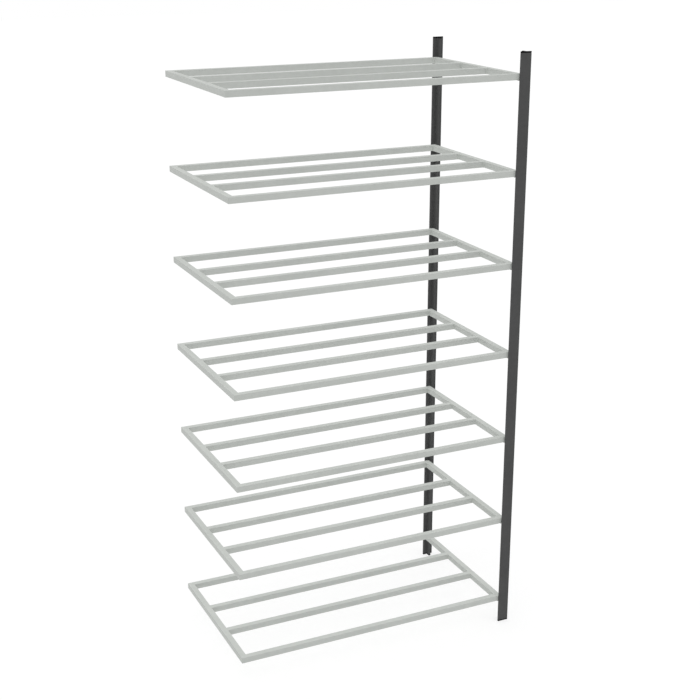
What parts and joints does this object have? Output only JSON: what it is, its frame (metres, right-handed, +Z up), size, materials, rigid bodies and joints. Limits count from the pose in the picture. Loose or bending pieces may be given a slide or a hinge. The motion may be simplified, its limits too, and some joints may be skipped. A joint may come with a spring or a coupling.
{
  "type": "tubular shelving unit",
  "caption": "Tall open steel shelf bay: welded tube-frame shelves lift off bearers hooked into T-section uprights at one end; the other end hangs on a neighbouring bay.",
  "frame": {"origin": "on the floor, under the middle of the whole bay's box", "axes": "+X along the shelves towards the uprights, +Y from front to rear, +Z up"},
  "size_m": [1.058, 0.6, 2.096],
  "materials": {
    "light_grey_powder_coat": "satin powder coat, light grey with a faint green tint",
    "dark_grey_powder_coat": "satin powder coat, dark grey",
    "black_plastic": "matte moulded plastic"
  },
  "bodies": {
    "frame": {"front_upright": "dark_grey_powder_coat", "rear_upright": "dark_grey_powder_coat", "front_foot_cap": "black_plastic", "rear_foot_cap": "black_plastic", "front_top_cap": "black_plastic", "rear_top_cap": "black_plastic", "shelf_1_bearer": "dark_grey_powder_coat", "shelf_2_bearer": "dark_grey_powder_coat", "shelf_3_bearer": "dark_grey_powder_coat", "shelf_4_bearer": "dark_grey_powder_coat", "shelf_5_bearer": "dark_grey_powder_coat", "shelf_6_bearer": "dark_grey_powder_coat", "shelf_7_bearer": "dark_grey_powder_coat"},
    "shelf_1": {"shelf_1_front_tube": "light_grey_powder_coat", "shelf_1_rear_tube": "light_grey_powder_coat", "shelf_1_left_end_tube": "light_grey_powder_coat", "shelf_1_right_end_tube": "light_grey_powder_coat", "shelf_1_inner_front_tube": "light_grey_powder_coat", "shelf_1_inner_rear_tube": "light_grey_powder_coat"},
    "shelf_2": {"shelf_2_front_tube": "light_grey_powder_coat", "shelf_2_rear_tube": "light_grey_powder_coat", "shelf_2_left_end_tube": "light_grey_powder_coat", "shelf_2_right_end_tube": "light_grey_powder_coat", "shelf_2_inner_front_tube": "light_grey_powder_coat", "shelf_2_inner_rear_tube": "light_grey_powder_coat"},
    "shelf_3": {"shelf_3_front_tube": "light_grey_powder_coat", "shelf_3_rear_tube": "light_grey_powder_coat", "shelf_3_left_end_tube": "light_grey_powder_coat", "shelf_3_right_end_tube": "light_grey_powder_coat", "shelf_3_inner_front_tube": "light_grey_powder_coat", "shelf_3_inner_rear_tube": "light_grey_powder_coat"},
    "shelf_4": {"shelf_4_front_tube": "light_grey_powder_coat", "shelf_4_rear_tube": "light_grey_powder_coat", "shelf_4_left_end_tube": "light_grey_powder_coat", "shelf_4_right_end_tube": "light_grey_powder_coat", "shelf_4_inner_front_tube": "light_grey_powder_coat", "shelf_4_inner_rear_tube": "light_grey_powder_coat"},
    "shelf_5": {"shelf_5_front_tube": "light_grey_powder_coat", "shelf_5_rear_tube": "light_grey_powder_coat", "shelf_5_left_end_tube": "light_grey_powder_coat", "shelf_5_right_end_tube": "light_grey_powder_coat", "shelf_5_inner_front_tube": "light_grey_powder_coat", "shelf_5_inner_rear_tube": "light_grey_powder_coat"},
    "shelf_6": {"shelf_6_front_tube": "light_grey_powder_coat", "shelf_6_rear_tube": "light_grey_powder_coat", "shelf_6_left_end_tube": "light_grey_powder_coat", "shelf_6_right_end_tube": "light_grey_powder_coat", "shelf_6_inner_front_tube": "light_grey_powder_coat", "shelf_6_inner_rear_tube": "light_grey_powder_coat"},
    "shelf_7": {"shelf_7_front_tube": "light_grey_powder_coat", "shelf_7_rear_tube": "light_grey_powder_coat", "shelf_7_left_end_tube": "light_grey_powder_coat", "shelf_7_right_end_tube": "light_grey_powder_coat", "shelf_7_inner_front_tube": "light_grey_powder_coat", "shelf_7_inner_rear_tube": "light_grey_powder_coat"}
  },
  "joints": [
    {"name": "shelf_1_lift", "type": "slide", "parent": "frame", "child": "shelf_1", "axis": [0, 0, 1], "range_m": [0, 0.02]},
    {"name": "shelf_2_lift", "type": "slide", "parent": "frame", "child": "shelf_2", "axis": [0, 0, 1], "range_m": [0, 0.02]},
    {"name": "shelf_3_lift", "type": "slide", "parent": "frame", "child": "shelf_3", "axis": [0, 0, 1], "range_m": [0, 0.02]},
    {"name": "shelf_4_lift", "type": "slide", "parent": "frame", "child": "shelf_4", "axis": [0, 0, 1], "range_m": [0, 0.02]},
    {"name": "shelf_5_lift", "type": "slide", "parent": "frame", "child": "shelf_5", "axis": [0, 0, 1], "range_m": [0, 0.02]},
    {"name": "shelf_6_lift", "type": "slide", "parent": "frame", "child": "shelf_6", "axis": [0, 0, 1], "range_m": [0, 0.02]},
    {"name": "shelf_7_lift", "type": "slide", "parent": "frame", "child": "shelf_7", "axis": [0, 0, 1], "range_m": [0, 0.02]}
  ]
}
